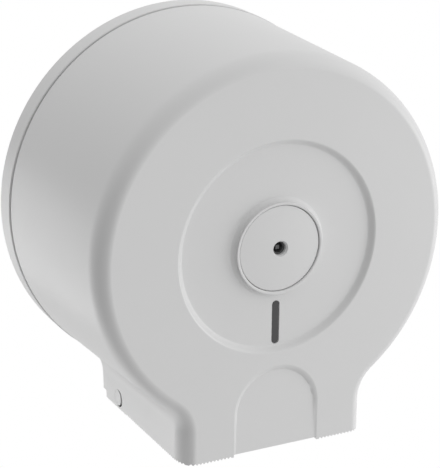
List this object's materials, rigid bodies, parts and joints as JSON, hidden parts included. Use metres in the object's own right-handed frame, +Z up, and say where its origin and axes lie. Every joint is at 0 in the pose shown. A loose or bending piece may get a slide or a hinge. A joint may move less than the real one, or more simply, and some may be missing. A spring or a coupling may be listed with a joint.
{
  "type": "toilet roll dispenser",
  "caption": "Round wall-mounted jumbo toilet roll dispenser with a paper chute, level window and central key lock; the cover hinges down on the back plate.",
  "frame": {"origin": "on the wall face of the back plate, on the axis of the roll spindle", "axes": "+Z up, +X to the right as seen from the front, +Y into the wall; the front faces -Y"},
  "size_m": [0.226, 0.1352, 0.235],
  "materials": {
    "white_plastic": "satin moulded plastic",
    "inner_plastic": "satin moulded plastic",
    "grey_plastic": "fine matt moulded plastic",
    "dark_plastic": "matt moulded plastic",
    "smoked_window": "smoked, polished",
    "steel": "zinc plated",
    "spring_steel": "drawn wire"
  },
  "bodies": {
    "back": {"back_plate": "white_plastic", "hinge_pin_left": "white_plastic", "hinge_pin_right": "white_plastic", "hinge_clips": "steel", "spindle_post": "inner_plastic", "post_screws": "steel", "hub_washer": "grey_plastic", "keeper_plate": "steel", "keeper_screws": "steel"},
    "hub": {"roll_hub": "grey_plastic"},
    "cover": {"cover": "white_plastic", "level_window": "smoked_window", "lock_cap": "white_plastic", "lock_housing": "inner_plastic", "lock_screws": "steel", "lock_spring": "spring_steel"},
    "lock": {"lock_barrel": "dark_plastic", "barrel_clip": "spring_steel", "lock_bar": "steel", "bar_washer": "steel", "bar_screw": "steel"}
  },
  "joints": [
    {"name": "cover_hinge", "type": "hinge", "parent": "back", "child": "cover", "pos_m": [0, -0.044, -0.1156], "axis": [1, 0, 0], "range_deg": [0, 110]},
    {"name": "lock_turn", "type": "hinge", "parent": "cover", "child": "lock", "pos_m": [0, -0.12, 0], "axis": [0, 1, 0], "range_deg": [0, 90]},
    {"name": "hub_spin", "type": "hinge", "parent": "back", "child": "hub", "pos_m": [0, -0.06, 0], "axis": [0, 1, 0], "continuous": true}
  ]
}
